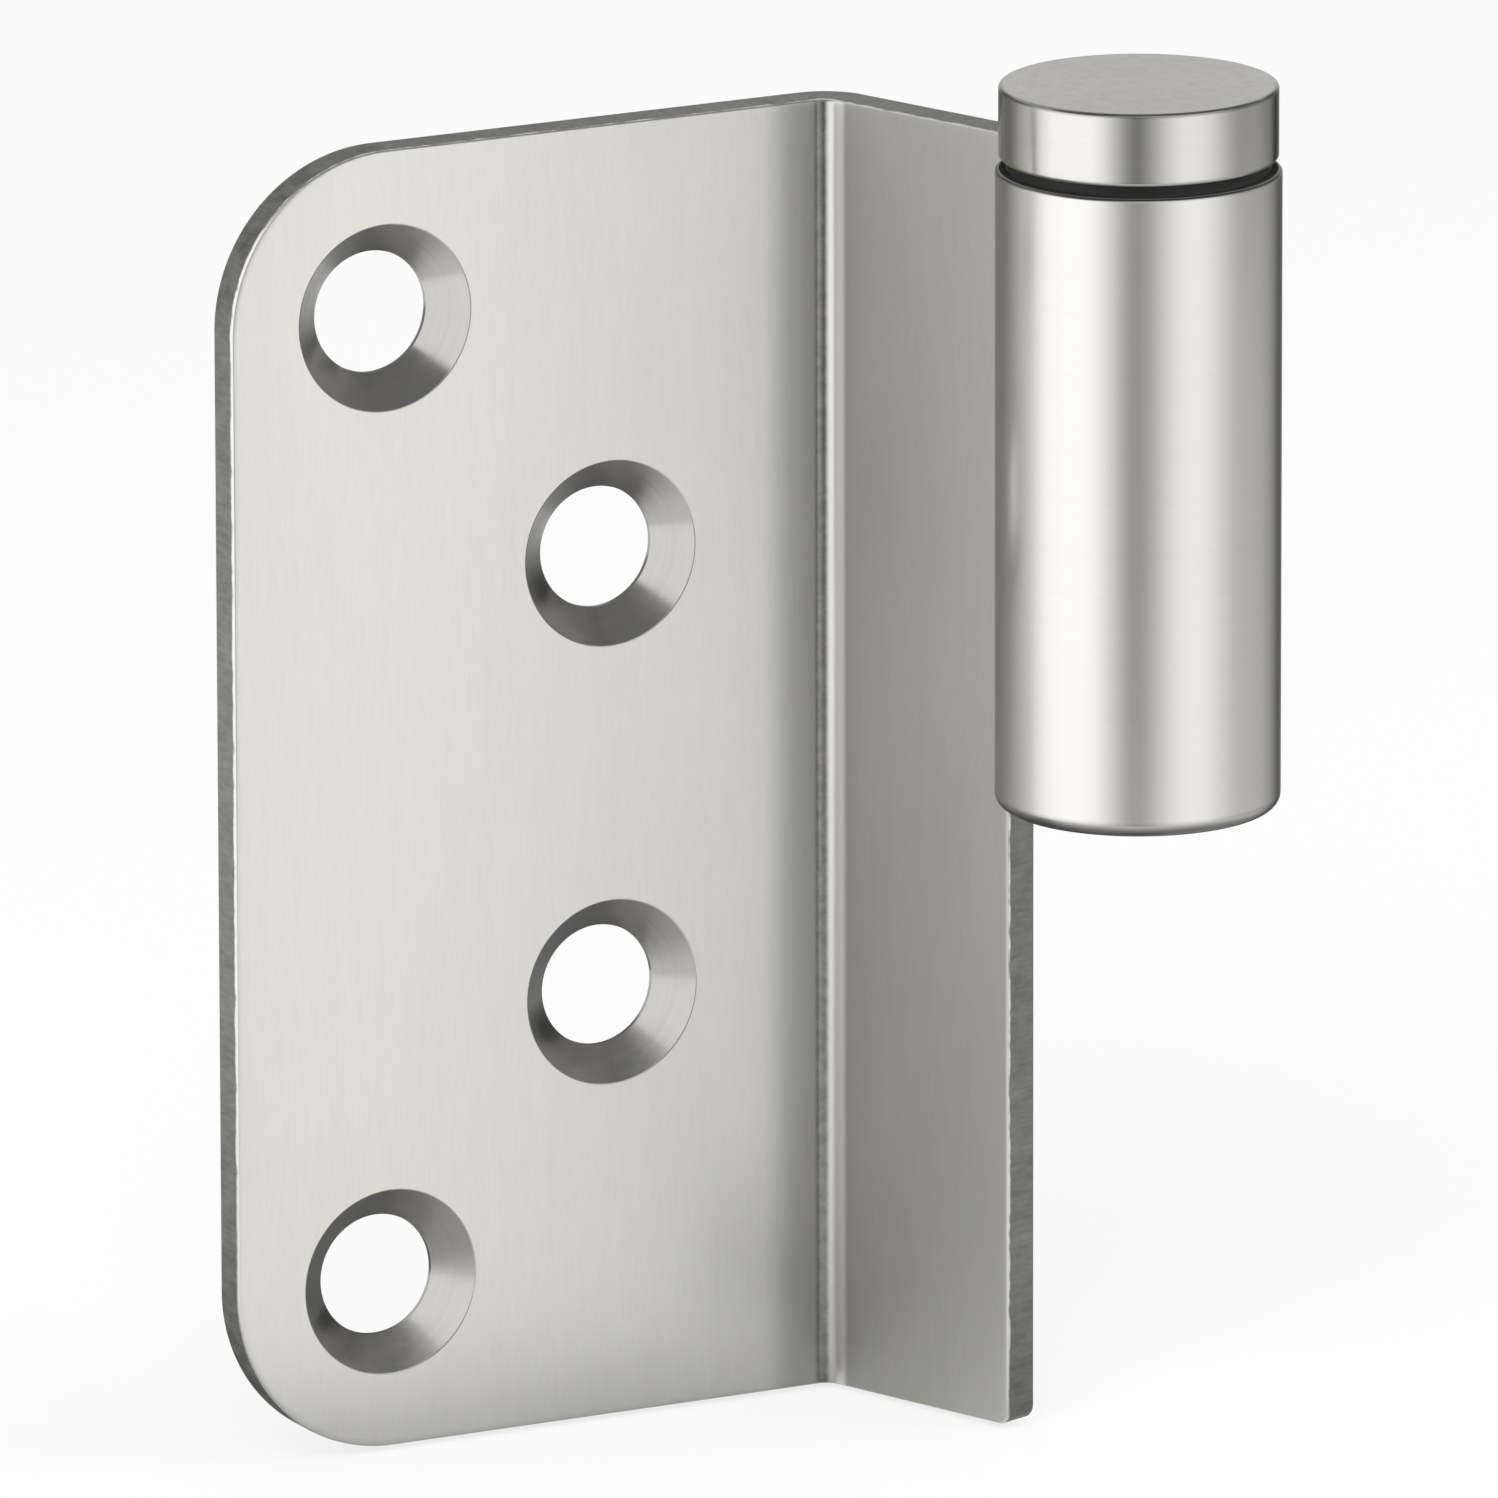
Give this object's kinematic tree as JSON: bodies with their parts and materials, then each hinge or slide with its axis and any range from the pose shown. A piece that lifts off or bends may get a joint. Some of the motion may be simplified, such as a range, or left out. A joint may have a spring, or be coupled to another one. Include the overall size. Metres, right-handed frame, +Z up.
{
  "type": "commercial door hinge leaf",
  "caption": "Door-side leaf of a lift-off commercial door hinge: folded stainless flag plate with countersunk screw holes, a turned knuckle with a lined pin bore and an end cap.",
  "frame": {"origin": "on the knuckle axis at the mouth of the pin bore, at half the leaf's height", "axes": "+Z up along the knuckle axis; the countersunk face of the main flange looks along -Y"},
  "size_m": [0.0727, 0.0406, 0.1052],
  "materials": {
    "satin_sheet": "satin",
    "turned_steel": "satin",
    "ring_plastic": "matt",
    "bearing_plastic": "matt"
  },
  "bodies": {
    "root": {"hinge_leaf": "satin_sheet", "knuckle_tube": "turned_steel", "end_cap": "turned_steel", "cap_ring": "ring_plastic", "bearing_bush": "bearing_plastic"}
  },
  "joints": []
}
